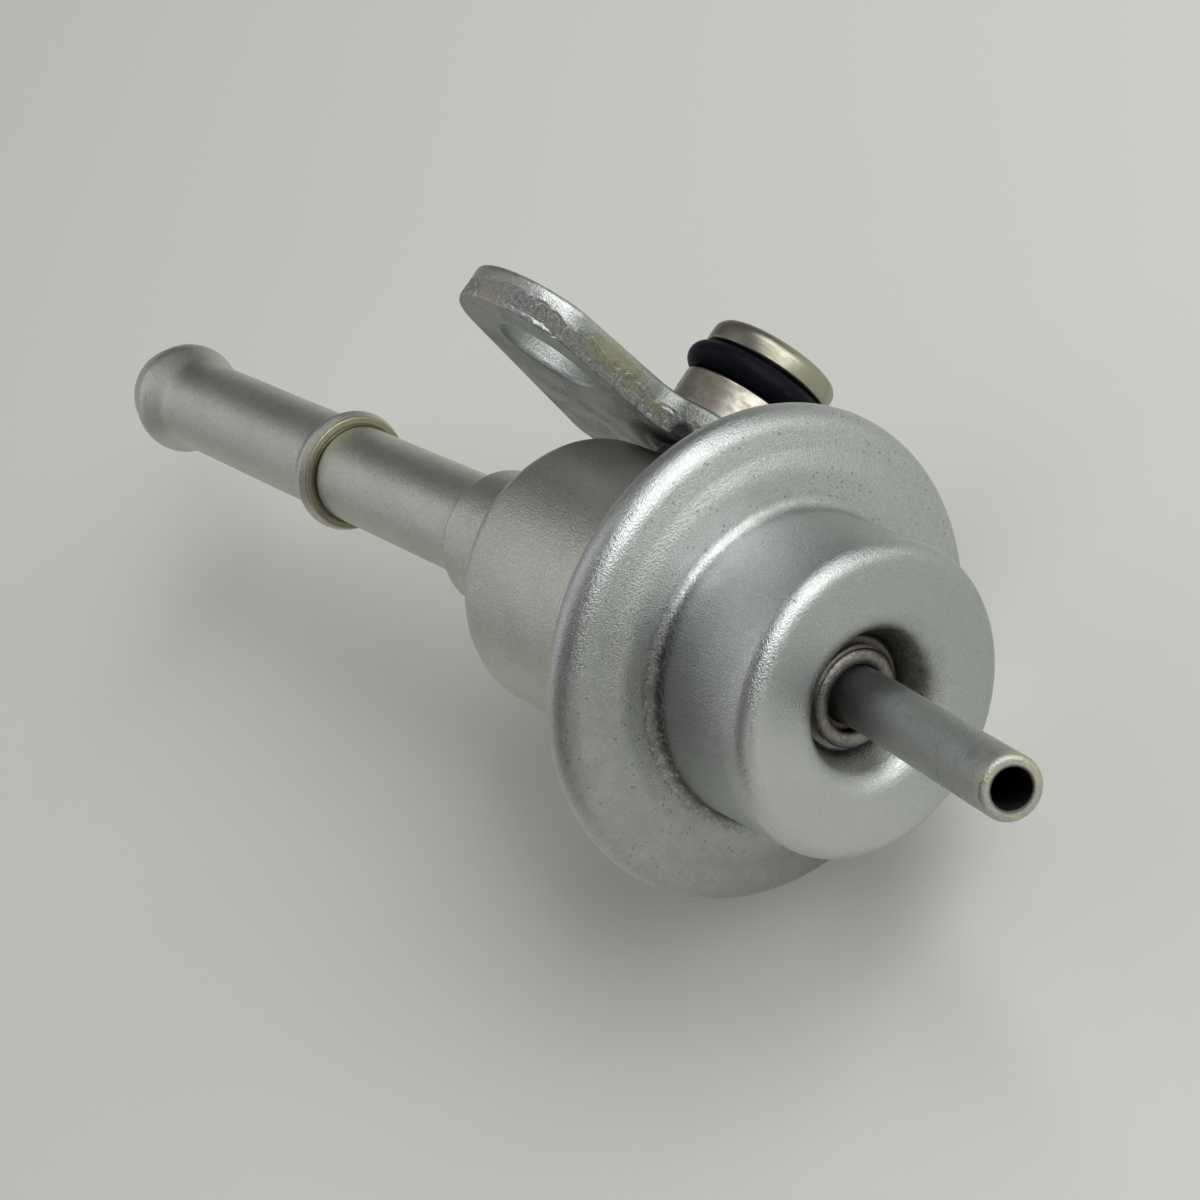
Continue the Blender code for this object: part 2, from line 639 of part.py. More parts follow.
def ball_retainer():
    start = STEM_MOUTH_X + STEM_LIP + STACK / 2
    section = ring_section(start, start + RETAINER_THICKNESS, RETAINER_BORE_R, RETAINER_R)
    return turned("ball_retainer", section, SMALL, spring_steel("retainer_steel"))


def valve_ball():
    section = arc(BALL_X, 0, BALL_R, 0, 180, 10)
    return turned("valve_ball", section, 24, bare_steel("ball_steel"), centre_x=BALL_X)


def valve_disc():
    """Thin flat valve with a shallow round dish in which the ball is fixed."""
    top = DISC_X + DISC_THICKNESS
    dish_r = BALL_R + 2 * STACK
    dish_edge = sqrt(dish_r ** 2 - (BALL_X - top) ** 2)
    section = [(DISC_X, 0), (DISC_X, DISC_R - 0.0001), (DISC_X + 0.0001, DISC_R), (top, DISC_R), (top, dish_edge)]
    half = asin(dish_edge / dish_r)
    section += [(BALL_X - dish_r * cos(half * share), dish_r * sin(half * share)) for share in (0.66, 0.33, 0)]
    return turned("valve_disc", section, SMALL, bare_steel("disc_steel"), centre_x=BALL_X)


def valve_seat():
    """Bush in the return pipe's inner end, with the raised land that the disc closes on."""
    spigot_r = PIPE_BORE_R - FIT
    shoulder = SEAT_FLANGE_X + SEAT_FLANGE_HEIGHT
    section = [
        (SEAT_FLANGE_X - SEAT_SPIGOT_LENGTH, SEAT_BORE_R), (SEAT_FLANGE_X - SEAT_SPIGOT_LENGTH, spigot_r),
        (SEAT_FLANGE_X, spigot_r), (SEAT_FLANGE_X, SEAT_FLANGE_R), (shoulder - 0.0003, SEAT_FLANGE_R),
        (shoulder, SEAT_FLANGE_R - 0.0003), (shoulder, SEAT_LAND_R + 0.0002), (SEAT_LAND_X, SEAT_LAND_R),
        (SEAT_LAND_X, SEAT_BORE_R + 0.0002), (SEAT_LAND_X - 0.0002, SEAT_BORE_R),
    ]
    return turned("valve_seat", section, 32, brass("seat_brass"))


def cover_spring_seat():
    """Pressed ring under the dimple, with its rim turned down round the spring."""
    top = SPRING_SEAT_X + SPRING_SEAT_THICKNESS
    lip_r = SPRING_SEAT_R - SPRING_SEAT_THICKNESS
    section = rounded(
        [(top, SPRING_SEAT_HOLE_R), (top, SPRING_SEAT_R), (SPRING_SEAT_X - SPRING_SEAT_LIP, SPRING_SEAT_R),
         (SPRING_SEAT_X - SPRING_SEAT_LIP, lip_r), (SPRING_SEAT_X, lip_r), (SPRING_SEAT_X, SPRING_SEAT_HOLE_R)],
        [0.0006, 0.0001, 0.0001, 0.0001], 3)
    return turned("cover_spring_seat", section, 28, zinc("spring_seat_zinc"))


def main_spring():
    return coil("main_spring", SPRING_R, SPRING_WIRE_R, SPRING_TURNS, SPRING_FOOT_X, SPRING_TOP_X,
                spring_steel("main_spring_steel"))


def ball_spring():
    start = BALL_X + sqrt(BALL_R ** 2 - BALL_SPRING_R ** 2) + FIT
    return coil("ball_spring", BALL_SPRING_R, BALL_SPRING_WIRE_R, BALL_SPRING_TURNS, start,
                start + BALL_SPRING_LENGTH, spring_steel("ball_spring_steel"), per_turn=14, sides=1)


def build():
    clear_scene()
    makers = (spring_cover, vacuum_pipe, lower_housing, return_pipe, inlet_spigot, inlet_o_ring,
              bracket, diaphragm, lower_diaphragm_plate, upper_diaphragm_plate, valve_stem,
              ball_retainer, valve_ball, valve_disc, ball_spring, valve_seat, cover_spring_seat,
              main_spring, vacuum_pipe_braze, return_pipe_braze)
    for make in makers:
        make()
    shift = Vector((-ORIGIN_X, -BRACKET_TOP_Y, -ORIGIN_Z))
    for item in bpy.data.objects:
        item.location += shift


build()
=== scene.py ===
"""Looks of a fuel pressure regulator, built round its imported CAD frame.

The shapes are drawn in millimetres about the point where the inlet spigot's axis crosses the
body's axis: x runs along the body, y along the spigot, z towards the bolt ear.
"""
from math import acos, asin, atan2, cos, degrees, pi, radians, sin, sqrt, tan

import bmesh
import bpy
from mathutils import Matrix, Vector, noise


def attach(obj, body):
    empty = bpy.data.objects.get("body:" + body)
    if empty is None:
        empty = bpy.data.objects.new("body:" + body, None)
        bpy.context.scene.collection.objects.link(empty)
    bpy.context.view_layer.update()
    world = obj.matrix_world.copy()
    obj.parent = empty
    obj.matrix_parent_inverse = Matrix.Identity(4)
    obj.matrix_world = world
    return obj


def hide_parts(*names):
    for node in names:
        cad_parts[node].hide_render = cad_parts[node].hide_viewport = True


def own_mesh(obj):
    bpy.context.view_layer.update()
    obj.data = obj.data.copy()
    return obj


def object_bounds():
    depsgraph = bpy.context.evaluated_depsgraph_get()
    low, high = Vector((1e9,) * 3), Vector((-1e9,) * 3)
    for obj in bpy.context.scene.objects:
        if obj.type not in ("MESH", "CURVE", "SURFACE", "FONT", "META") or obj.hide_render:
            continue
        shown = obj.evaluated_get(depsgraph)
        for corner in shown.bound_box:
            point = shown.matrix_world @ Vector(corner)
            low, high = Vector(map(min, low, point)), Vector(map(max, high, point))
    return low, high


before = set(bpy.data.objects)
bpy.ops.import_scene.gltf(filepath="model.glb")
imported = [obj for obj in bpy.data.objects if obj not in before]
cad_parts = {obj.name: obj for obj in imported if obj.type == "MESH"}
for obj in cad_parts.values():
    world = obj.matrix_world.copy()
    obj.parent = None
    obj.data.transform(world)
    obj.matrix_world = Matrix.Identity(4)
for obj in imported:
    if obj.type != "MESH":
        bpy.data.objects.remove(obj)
cad_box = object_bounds()

MM = 0.001
PORT = Vector((2.75, -13.15, -7.2)) * MM

# Camera, as fitted to the photograph
CAMERA_PLACE = Vector((146.90, -23.76, 118.38))
CAMERA_RIGHT = Vector((0.57249, 0.53943, -0.61747))
CAMERA_UP = Vector((-0.26073, 0.83377, 0.48666))
CAMERA_BACK = Vector((0.77735, -0.11762, 0.61797))
CAMERA_LENS = 80.09
SENSOR = 36.0

# Spring cover
WALL = 0.7
CAP_R = 10.65
CAP_FACE_X = 27.57
CREASE_X = 18.15
RIM_R = 17.1
RIM_ROUND = 1.7
RIM_REAR_X = 14.2
RIM_INNER_R = 15.23
SLOPE_R = 14.5
LAND_R = 13.2
COLLAR_R = 3.25
COLLAR_BORE_R = 2.45
COLLAR_LIP_X = 25.45
COLLAR_SHIFT = Vector((0, -0.12, -0.14))
LIP_MIDDLE_R = 2.81
LIP_HALF_WIDTH = 0.55
LIP_ROOT_X = COLLAR_LIP_X - 0.22
LIP_HEIGHT = 0.38
DIMPLE_X = 24.6
DIMPLE_R = 5.2

# Vacuum pipe, bent where it leaves the collar
VACUUM_ROOT = Vector((25.1, 0.07, -0.2))
VACUUM_SIDE = Vector((0, -0.350, 0.937))
VACUUM_LEAN = radians(20.4)
VACUUM_BEND_R = 6.0
VACUUM_R = 2.0
VACUUM_BORE_R = 1.26
VACUUM_INSERTED = 1.3
VACUUM_LENGTH = 23.4

# Housing and return pipe
CUP_R = 10.15
CUP_END_X = -6.6
HOUSING_WALL = 1.0
HOUSING_FLANGE_R = 15.5
NECK_R = 5.3
NECK_BORE_R = 4.3
NECK_END_X = -16.5
PIPE_R = 4.0
PIPE_BORE_R = 3.2
PIPE_OPEN_X = -71.8
PIPE_INNER_X = 5.0
BULGE_R = 5.1
BEAD_X = -38.1

# Bracket and spigot
PLATE_Y = 10.45
PLATE_THICKNESS = 2.7
EAR = (-5.1, 13.4)
EAR_R = 7.4
EAR_FRONT_X = 1.0
SHOULDER = (-17.0, -1.0)
FOOT = (-14.0, -6.8)
FOOT_R = 6.8
FRONT_FILLET_R = 2.0
BOLT_HOLE_R = 3.8
SPIGOT_R = 5.0
SPIGOT_NECK_R = 3.6
SPIGOT_BORE_R = 2.6
SPIGOT_INNER_Y = 8.4
GROOVE_Y = 16.2
GROOVE_WIDTH = 2.5
GROOVE_R = 3.4
SPIGOT_END_Y = 20.6
O_RING_WIRE_R = 1.08

# Faces round a turned piece
ROUND = 160

# Zinc on the housing and its pipe, a little warmer than on the cover
WARM_ZINC = (0.500, 0.512, 0.465)

# Towards the cap's side with more dirt and painted shade, and places of single marks
LOWER_SIDE = Vector((0.0, -0.995, 0.095))
SCRATCH = (26.6, 1.7, 10.2)
WARM_SPOT = (-4.5, 11.6, 20.9)
SHADE_AND_FLUX_BLOB = (3.0, 10.7, 6.0)

# Place of the vacuum pipe's tip, along the pipe's straight run
TIP_ALONG = VACUUM_ROOT.x * cos(VACUUM_LEAN) + VACUUM_ROOT.dot(VACUUM_SIDE) * sin(VACUUM_LEAN)
TIP_ALONG += VACUUM_BEND_R * (sin(VACUUM_LEAN) - VACUUM_LEAN) + VACUUM_LENGTH

# Diaphragm and main spring
DIAPHRAGM_X = 16.1
DIAPHRAGM_THICKNESS = 0.35
DIAPHRAGM_R = 15.4
DIAPHRAGM_BORE_R = 2.7
CLAMPED_BEAD_HEIGHT = 0.25
FOLD_R = 8.5
FOLD_HEIGHT = 0.9
SPRING_R = 6.0
SPRING_WIRE_R = 0.6
SPRING_FOOT_X = 17.45
SPRING_TOP_X = 22.8
SPRING_TURNS = 2.75


# Shapes


def arc(centre_x, centre_r, radius, start, end, steps=8):
    """Points on a circle from the start angle to the end angle, in degrees."""
    points = []
    for step in range(steps + 1):
        angle = radians(start + (end - start) * step / steps)
        points.append((centre_x + radius * cos(angle), centre_r + radius * sin(angle)))
    return points


def rounded(points, radii, steps=8):
    """A polyline with each inner corner rounded by its own radius."""
    result = [points[0]]
    for before, corner, after, radius in zip(points, points[1:], points[2:], radii):
        if radius <= 0:
            result.append(corner)
            continue
        back = Vector(before) - Vector(corner)
        ahead = Vector(after) - Vector(corner)
        half = back.angle(ahead) / 2
        reach = min(radius / tan(half), 0.49 * back.length, 0.49 * ahead.length)
        radius = reach * tan(half)
        centre = Vector(corner) + (back.normalized() + ahead.normalized()).normalized() * radius / sin(half)
        start = Vector(corner) + back.normalized() * reach - centre
        end = Vector(corner) + ahead.normalized() * reach - centre
        turn = start.angle_signed(end)
        for step in range(steps + 1):
            spoke = start.copy()
            spoke.rotate(Matrix.Rotation(-turn * step / steps, 2))
            result.append(tuple(centre + spoke))
    result.append(points[-1])
    return result


def thickened(path, thickness):
    """The closed section of a sheet: the path, and back along its offset to the left."""
    offset = []
    for index, point in enumerate(path):
        here = Vector(point)
        before = here - Vector(path[max(index - 1, 0)])
        after = Vector(path[min(index + 1, len(path) - 1)]) - here
        before = before if before.length else after
        after = after if after.length else before
        left_before = Vector((-before.y, before.x)).normalized()
        left_after = Vector((-after.y, after.x)).normalized()
        middle = (left_before + left_after).normalized()
        offset.append(tuple(here + middle * thickness / middle.dot(left_before)))
    return path + offset[::-1]


def spaced(section, longest):
    """The section with its long straight runs divided, so that they can be worn by noise."""
    result = []
    for one, two in zip(section, section[1:] + section[:1]):
        span = (Vector(two) - Vector(one)).length
        pieces = max(1, int(span / longest))
        for step in range(pieces):
            result.append(tuple(Vector(one).lerp(Vector(two), step / pieces)))
    return result


def piece(name, shape, material, replaces, body="housing", smooth_angle=40):
    """Turns a bmesh drawn in millimetres into a piece that rides on its body."""
    bmesh.ops.scale(shape, vec=(MM, MM, MM), verts=shape.verts)
    bmesh.ops.recalc_face_normals(shape, faces=shape.faces)
    mesh = bpy.data.meshes.new(name)
    shape.to_mesh(mesh)
    shape.free()
    mesh.materials.append(material)
    mesh.shade_smooth()
    mesh.set_sharp_from_angle(angle=radians(smooth_angle))
    made = bpy.data.objects.new(name, mesh)
    made.location = PORT
    bpy.context.scene.collection.objects.link(made)
    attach(made, body)
    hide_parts(*replaces)
    return made


def lathe(section, steps=ROUND, axis="X", longest=2.0):
    """A closed section turned once round X, or round Y."""
    shape = bmesh.new()
    section = spaced(section, longest)
    rings = []
    for x, r in section:
        ring = []
        for step in range(steps):
            angle = 2 * pi * step / steps
            ring.append(shape.verts.new((x, r * cos(angle), r * sin(angle))))
        rings.append(ring)
    for one, two in zip(rings, rings[1:] + rings[:1]):
        for step in range(steps):
            after = (step + 1) % steps
            shape.faces.new((one[step], one[after], two[after], two[step]))
    bmesh.ops.remove_doubles(shape, verts=shape.verts, dist=1e-4)
    if axis == "Y":
        bmesh.ops.transform(shape, matrix=Matrix.Rotation(pi / 2, 4, "Z"), verts=shape.verts)
    return shape


def worn(shape, size, depth):
    """Moves each point a little by smooth noise, so that highlights are not perfectly even."""
    shape.normal_update()
    for vert in shape.verts:
        vert.co += vert.normal * depth * noise.noise(vert.co / size)
    return shape


# Materials


class Finish:
    """A material's nodes. Places are in the piece's own coordinates, in metres."""

    def __init__(self, name, metallic, base_colour):
        self.material = bpy.data.materials.new(name)
        self.material.use_nodes = True
        self.tree = self.material.node_tree
        self.surface = self.tree.nodes["Principled BSDF"]
        self.surface.inputs["Metallic"].default_value = metallic
        self.colour = base_colour
        self.place = self.tree.nodes.new("ShaderNodeTexCoord").outputs["Object"]
        self.height = None

    def node(self, kind, settings=None, **inputs):
        """A new node, with its properties and its inputs by name."""
        made = self.tree.nodes.new(kind)
        for key, value in (settings or {}).items():
            setattr(made, key, value)
        for key, value in inputs.items():
            self.feed(made.inputs[key.replace("_", " ")], value)
        return made

    def feed(self, socket, value):
        if isinstance(value, bpy.types.NodeSocket):
            self.tree.links.new(value, socket)
        elif socket.type == "RGBA":
            socket.default_value = (*value[:3], 1.0)
        else:
            socket.default_value = value

    def math(self, operation, one, two):
        made = self.node("ShaderNodeMath", {"operation": operation})
        self.feed(made.inputs[0], one)
        self.feed(made.inputs[1], two)
        return made.outputs[0]

    def times(self, one, two):
        return self.math("MULTIPLY", one, two)

    def rest(self, mask):
        """What a mask leaves."""
        return self.math("SUBTRACT", 1.0, mask)

    def mapped(self, value, low, high, out_low=0.0, out_high=1.0):
        """A smooth step from one value to the other."""
        made = self.node("ShaderNodeMapRange", {"interpolation_type": "SMOOTHSTEP"})
        for index, number in enumerate((value, low, high, out_low, out_high)):
            self.feed(made.inputs[index], number)
        return made.outputs[0]

    def coordinate(self, axis):
        """x, y or z in millimetres, or r, the distance from the body's axis."""
        if axis == "r":
            return self.distance((0, 0, 0), (0, 1, 1))
        parts = self.node("ShaderNodeSeparateXYZ", Vector=self.place)
        return self.times(parts.outputs["XYZ".index(axis.upper())], 1000.0)

    def distance(self, point, keep=(1, 1, 1)):
        """Distance in millimetres from a point, measured in the kept axes only."""
        flat = self.node("ShaderNodeVectorMath", {"operation": "MULTIPLY"})
        self.feed(flat.inputs[0], self.place)
        flat.inputs[1].default_value = Vector(keep) / MM
        made = self.node("ShaderNodeVectorMath", {"operation": "DISTANCE"})
        self.feed(made.inputs[0], flat.outputs[0])
        made.inputs[1].default_value = [value * kept for value, kept in zip(point, keep)]
        return made.outputs["Value"]

    def spot(self, point, radius, soft, keep=(1, 1, 1)):
        """1 near a point, falling softly to 0 round it."""
        return self.mapped(self.distance(point, keep), radius, radius + soft, 1.0, 0.0)

    def off_axis(self, point, direction):
        """Distance in millimetres from the line through a point, along a unit direction."""
        start = self.node("ShaderNodeVectorMath", {"operation": "MULTIPLY_ADD"})
        self.feed(start.inputs[0], self.place)
        start.inputs[1].default_value = (1000, 1000, 1000)
        start.inputs[2].default_value = -Vector(point)
        turned = self.node("ShaderNodeVectorMath", {"operation": "CROSS_PRODUCT"})
        self.feed(turned.inputs[0], start.outputs[0])
        turned.inputs[1].default_value = direction
        made = self.node("ShaderNodeVectorMath", {"operation": "LENGTH"})
        self.feed(made.inputs[0], turned.outputs[0])
        return made.outputs["Value"]

    def along(self, direction):
        """Distance in millimetres from the pieces' common origin, along a direction."""
        made = self.node("ShaderNodeVectorMath", {"operation": "DOT_PRODUCT"})
        self.feed(made.inputs[0], self.place)
        made.inputs[1].default_value = Vector(direction) / MM
        return made.outputs["Value"]

    def band(self, value, low, high, soft):
        """1 from low to high, falling softly to 0 outside."""
        rise = self.mapped(value, low - soft, low)
        fall = self.mapped(value, high, high + soft, 1.0, 0.0)
        return self.times(rise, fall)

    def noise(self, size_mm, detail=3.0, rough=0.55, stretch=(1, 1, 1), low=0.35, high=0.65):
        """Soft noise with features of that size, spread over 0 to 1."""
        place = self.place
        if stretch != (1, 1, 1):
            place = self.node("ShaderNodeMapping", Vector=place, Scale=stretch).outputs[0]
        made = self.node("ShaderNodeTexNoise", Vector=place, Scale=1000.0 / size_mm,
                         Detail=detail, Roughness=rough)
        return self.mapped(made.outputs["Fac"], low, high)

    def specks(self, spacing_mm, radius_mm, share):
        """Small round specks, in only that share of the cells."""
        made = self.node("ShaderNodeTexVoronoi", Vector=self.place, Scale=1000.0 / spacing_mm)
        inside = self.mapped(made.outputs["Distance"], 0.5 * radius_mm / spacing_mm,
                             radius_mm / spacing_mm, 1.0, 0.0)
        pick = self.node("ShaderNodeSeparateColor", Color=made.outputs["Color"])
        kept = self.math("LESS_THAN", pick.outputs[0], share)
        return self.times(inside, kept)

    def tint(self, share, colour):
        """Mixes a colour into what is there, by a mask."""
        made = self.node("ShaderNodeMix", {"data_type": "RGBA"})
        self.feed(made.inputs[0], share)
        self.feed(made.inputs[6], self.colour)
        self.feed(made.inputs[7], colour)
        self.colour = made.outputs[2]

    def rise(self, value, depth_mm):
        """Adds relief of that depth."""
        made = self.node("ShaderNodeBump", Height=value, Distance=depth_mm * MM, Strength=1.0)
        if self.height:
            self.feed(made.inputs["Normal"], self.height)
        self.height = made.outputs[0]

    def done(self, roughness):
        """Joins colour, roughness and relief to the surface."""
        self.feed(self.surface.inputs["Base Color"], self.colour)
        self.feed(self.surface.inputs["Roughness"], roughness)
        if self.height:
            self.feed(self.surface.inputs["Normal"], self.height)
        return self.material


def plated(name, base=(0.490, 0.512, 0.500), smooth=0.28, dull=0.36, marks=None):
    """Satin zinc: fine crystals that sparkle, cloudy patches, a few dark pits."""
    finish = Finish(name, 1.0, base)
    clouds = finish.noise(5.0, 4.0)
    grain = finish.noise(0.14, 2.0, 0.7)
    mottle = finish.noise(0.7, 4.0, 0.75, low=0.42, high=0.62)
    finish.tint(finish.times(clouds, 0.40), tuple(c * 0.86 for c in base))
    finish.tint(finish.times(mottle, 0.32), tuple(c * 0.80 for c in base))
    finish.tint(finish.times(grain, 0.50), tuple(min(1, c * 1.45) for c in base))
    finish.tint(finish.times(finish.specks(0.9, 0.10, 0.22), 0.55), (0.12, 0.12, 0.12))
    finish.rise(grain, 0.014)
    finish.rise(finish.noise(1.2, 3.0), 0.004)
    if marks:
        marks(finish)
    return finish.done(finish.mapped(clouds, 0.0, 1.0, smooth, dull))


def cover_marks(finish):
    """Dirt and painted shade in the crease, freckles and painted shade on the flange, painted shade and
    painted light across the cap's face, a sooty dark patch with painted shade and a brown stain in the
    dimple, and a worn brown collar with painted shade at its foot.
    """
    x = finish.coordinate("x")
    y = finish.coordinate("y")
    r = finish.coordinate("r")
    lower = finish.mapped(finish.along(LOWER_SIDE), -1.0, 8.5, 0.12, 1.0)
    crease = finish.times(finish.band(r, 10.4, 11.25, 0.75), finish.band(x, 17.0, 18.75, 0.9))
    dirt = finish.times(finish.noise(0.30, 4.0, 0.75, low=0.38, high=0.58), crease)
    finish.tint(finish.times(dirt, finish.times(lower, 0.88)), (0.09, 0.085, 0.08))
    # Dark line in the crease's fillet: partly dirt, partly painted shade.
    line = finish.times(finish.band(r, 10.6, 11.05, 0.35), finish.band(x, 17.0, 18.6, 0.4))
    line = finish.times(line, finish.noise(0.9, 4.0, 0.7, low=0.34, high=0.56))
    finish.tint(finish.times(line, finish.times(lower, 0.85)), (0.075, 0.07, 0.065))
    flange = finish.times(finish.band(r, 11.2, 16.6, 0.6), finish.band(x, 14.5, 19.0, 0.5))
    stain = finish.times(finish.noise(1.4, 4.0, 0.7, low=0.40, high=0.62), flange)
    finish.tint(finish.times(stain, finish.times(lower, 0.30)), (0.36, 0.35, 0.30))
    # Painted shade: the flange made smoothly darker towards its lower side.
    finish.tint(finish.times(flange, finish.times(lower, 0.45)), (0.34, 0.35, 0.335))
    freckles = finish.times(finish.specks(0.60, 0.13, 0.40), flange)
    finish.tint(finish.times(freckles, 0.55), (0.15, 0.15, 0.14))
    # Painted shade on the cap's face towards +y, and painted light towards -y.
    face = finish.times(finish.band(x, 26.9, 29.0, 0.4), finish.mapped(y, -4.0, 8.0))
    finish.tint(finish.times(face, 0.4), (0.37, 0.385, 0.375))
    face_painted_light = finish.times(finish.band(x, 25.8, 29.0, 1.0), finish.mapped(y, -7.0, 0.0, 1.0, 0.0))
    finish.tint(finish.times(face_painted_light, 0.55), (0.64, 0.655, 0.635))
    dimple = finish.times(finish.band(r, 2.8, 4.3, 1.3), finish.band(x, 24.3, 26.6, 0.9))
    upper = finish.mapped(finish.along(-LOWER_SIDE), -1.5, 3.5)
    # Soot and painted shade: the dimple darker on its upper side, next to the collar.
    soot_and_shade = finish.times(dimple, upper)
    finish.tint(finish.times(soot_and_shade, 0.72), (0.11, 0.095, 0.085))
    patches = finish.noise(0.9, 4.0, 0.7, low=0.42, high=0.64)
    finish.tint(finish.times(finish.times(patches, soot_and_shade), 0.6), (0.07, 0.06, 0.055))
    finish.tint(finish.times(finish.times(patches, dimple), 0.25), (0.30, 0.26, 0.21))
    collar = finish.times(finish.band(r, 0.0, 3.45, 0.3), finish.band(x, 24.9, 26.5, 0.3))
    finish.tint(finish.times(collar, 0.88), (0.215, 0.20, 0.175))
    worn_spots = finish.noise(0.5, 3.0, 0.7, low=0.42, high=0.6)
    crest = finish.times(finish.band(r, 2.7, 3.0, 0.22), finish.band(x, 25.45, 26.5, 0.12))
    finish.tint(finish.times(crest, 0.6), (0.36, 0.335, 0.285))
    finish.tint(finish.times(finish.times(worn_spots, collar), 0.5), (0.13, 0.115, 0.10))
    # Painted shade round the foot of the collar, where it meets the dimple.
    foot = finish.times(finish.band(r, 3.2, 3.9, 0.5), finish.band(x, 24.0, 25.4, 0.3))
    finish.tint(finish.times(foot, 0.6), (0.10, 0.095, 0.09))
    scratch = finish.spot(SCRATCH, 0.0, 0.85, (1, 0, 1))
    scratch = finish.times(scratch, finish.band(y, SCRATCH[1] - 0.04, SCRATCH[1] + 0.04, 0.10))
    finish.tint(scratch, (0.74, 0.70, 0.62))
    finish.rise(scratch, -0.05)


def return_pipe_marks(finish):
    """Yellow chromate at the bead's sharp front edge, and a brownish open end."""
    x = finish.coordinate("x")
    r = finish.coordinate("r")
    bead = finish.times(finish.band(x, BEAD_X - 0.12, BEAD_X + 0.3, 0.15), finish.band(r, 3.6, 4.75, 0.2))
    finish.tint(finish.times(bead, 0.7), (0.33, 0.30, 0.17))
    crevice = finish.times(finish.band(x, BEAD_X - 0.1, BEAD_X + 0.25, 0.2), finish.band(r, 3.6, 4.16, 0.12))
    finish.tint(finish.times(crevice, 0.85), (0.09, 0.08, 0.05))
    mouth = finish.times(finish.band(x, PIPE_OPEN_X - 1.0, PIPE_OPEN_X + 1.2, 1.5), 0.5)
    finish.tint(mouth, (0.44, 0.42, 0.34))


def vacuum_pipe_marks(finish):
    """Blue-grey at the root, faint scuffs, a worn yellowish tip, and painted shade inside the bore."""
    ahead = Vector((cos(VACUUM_LEAN), 0, 0)) + VACUUM_SIDE * sin(VACUUM_LEAN)
    along = finish.along(ahead)
    root = finish.mapped(along, 25.0, 34.0, 1.0, 0.0)
    finish.tint(finish.times(root, 0.55), (0.19, 0.215, 0.235))
    scuffs = finish.noise(1.6, 3.0, 0.6, low=0.56, high=0.70)
    finish.tint(finish.times(scuffs, 0.35), (0.20, 0.21, 0.21))
    tip = finish.mapped(along, TIP_ALONG - 1.3, TIP_ALONG - 0.5)
    finish.tint(finish.times(tip, 0.7), (0.50, 0.50, 0.44))
    gold = finish.times(finish.noise(0.9, 2.0, 0.6, low=0.50, high=0.60), tip)
    finish.tint(finish.times(gold, 0.6), (0.60, 0.57, 0.33))
    # Painted shade inside the bore.
    middle = VACUUM_BEND_R * tan(VACUUM_LEAN / 2)
    bore = finish.off_axis(VACUUM_ROOT + Vector((middle, 0, 0)), ahead)
    finish.tint(finish.mapped(bore, VACUUM_BORE_R + 0.05, VACUUM_BORE_R + 0.25, 0.9, 0.0), (0.05, 0.05, 0.05))


def bracket_marks(finish):
    """Torn, glittering band on the sheared edge, yellowish in places, painted shade on the under face and on
    the edge by the cover's rim, and dark flux with painted shade round the spigot.
    """
    y = finish.coordinate("y")
    z = finish.coordinate("z")
    # Painted shade: the plate's under face made darker.
    face = finish.mapped(y, PLATE_Y + 0.02, PLATE_Y + 0.14, 1.0, 0.0)
    finish.tint(finish.times(face, 0.75), (0.27, 0.29, 0.295))
    dents = finish.times(finish.specks(2.4, 0.35, 0.30), face)
    finish.tint(finish.times(dents, 0.45), (0.50, 0.51, 0.49))
    wave = finish.times(finish.math("SUBTRACT", finish.noise(2.6, 2.0, 0.5), 0.5), 0.7)
    torn = finish.band(finish.math("ADD", y, wave), PLATE_Y + 0.15, PLATE_Y + 1.5, 0.12)
    hole = finish.spot((EAR[0], 0, EAR[1]), BOLT_HOLE_R + 0.5, 0.4, (1, 0, 1))
    torn = finish.times(torn, finish.rest(hole))
    finish.tint(finish.times(torn, 0.55), (0.30, 0.31, 0.30))
    # Painted shade on the plate's edge near the cover's rim.
    near_rim = finish.times(finish.mapped(z, 6.0, 9.5, 0.6, 0.0), finish.rest(face))
    finish.tint(near_rim, (0.19, 0.20, 0.175))
    facets = finish.noise(0.24, 3.0, 0.8, low=0.52, high=0.60)
    finish.tint(finish.times(facets, finish.times(torn, 0.55)), (0.72, 0.72, 0.68))
    pits = finish.noise(0.34, 3.0, 0.8, low=0.52, high=0.62)
    finish.tint(finish.times(pits, finish.times(torn, 0.5)), (0.20, 0.20, 0.18))
    gold = finish.times(finish.band(z, 8.5, 15.0, 2.0), finish.band(y, PLATE_Y + 0.9, PLATE_Y + 2.6, 0.4))
    gold = finish.times(gold, finish.noise(1.8, 3.0, 0.6, low=0.44, high=0.60))
    gold = finish.times(gold, finish.rest(hole))
    finish.tint(finish.times(gold, 0.6), (0.45, 0.43, 0.25))
    finish.tint(finish.times(finish.spot(WARM_SPOT, 0.8, 1.6), 0.5), (0.47, 0.42, 0.35))
    # Dark flux and painted shade on the plate's underside round the spigot, next to the cup.
    near_cup = finish.mapped(y, PLATE_Y + 0.3, PLATE_Y + 0.8, 1.0, 0.0)
    shade_and_flux = finish.times(finish.spot((0, 0, 0), 5.6, 1.3, (1, 0, 1)), near_cup)
    finish.tint(finish.times(shade_and_flux, 0.85), (0.07, 0.065, 0.06))
    # A blob of painted shade, partly flux, where the plate meets the cover's rim.
    finish.tint(finish.times(finish.spot(SHADE_AND_FLUX_BLOB, 0.6, 0.5), 0.9), (0.035, 0.035, 0.04))
    finish.rise(finish.times(finish.noise(0.26, 4.0, 0.8), torn), 0.08)
    finish.rise(finish.noise(0.5, 3.0, 0.7, (1.0, 0.25, 1.0)), 0.012)


